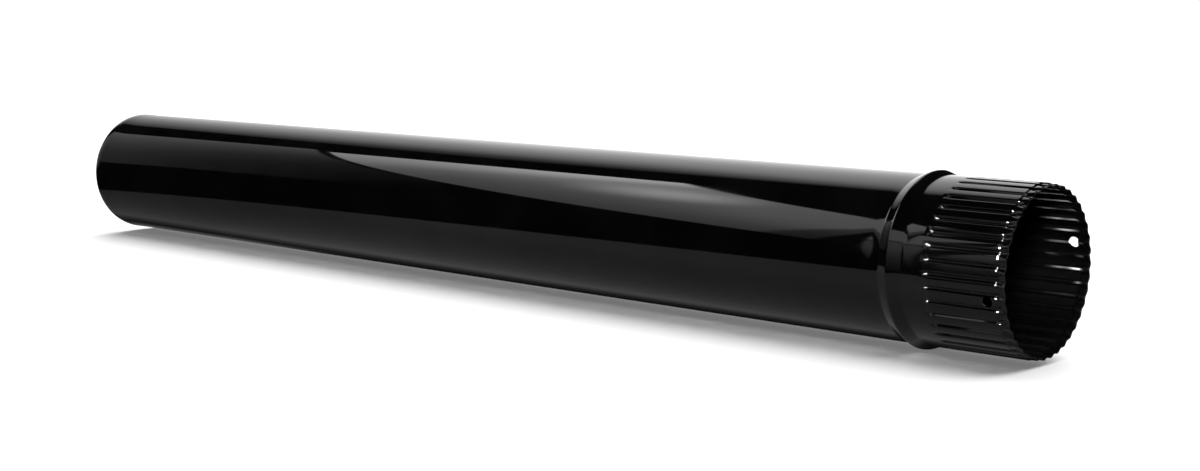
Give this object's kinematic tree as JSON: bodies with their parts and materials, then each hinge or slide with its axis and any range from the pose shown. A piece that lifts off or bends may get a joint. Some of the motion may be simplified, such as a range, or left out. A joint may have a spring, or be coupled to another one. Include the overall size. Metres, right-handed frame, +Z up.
{
  "type": "stove pipe",
  "caption": "Straight round steel flue pipe with a plain socket end, a rolled stop bead and a crimped spigot end, finished in gloss black enamel.",
  "frame": {"origin": "on the floor, under the middle of the pipe's length, with the pipe lying on its bead", "axes": "+X along the pipe towards the crimped end, +Z up"},
  "size_m": [1, 0.1174, 0.1176],
  "materials": {
    "enamel": "gloss"
  },
  "bodies": {
    "root": {"stove_pipe": "enamel"}
  },
  "joints": []
}
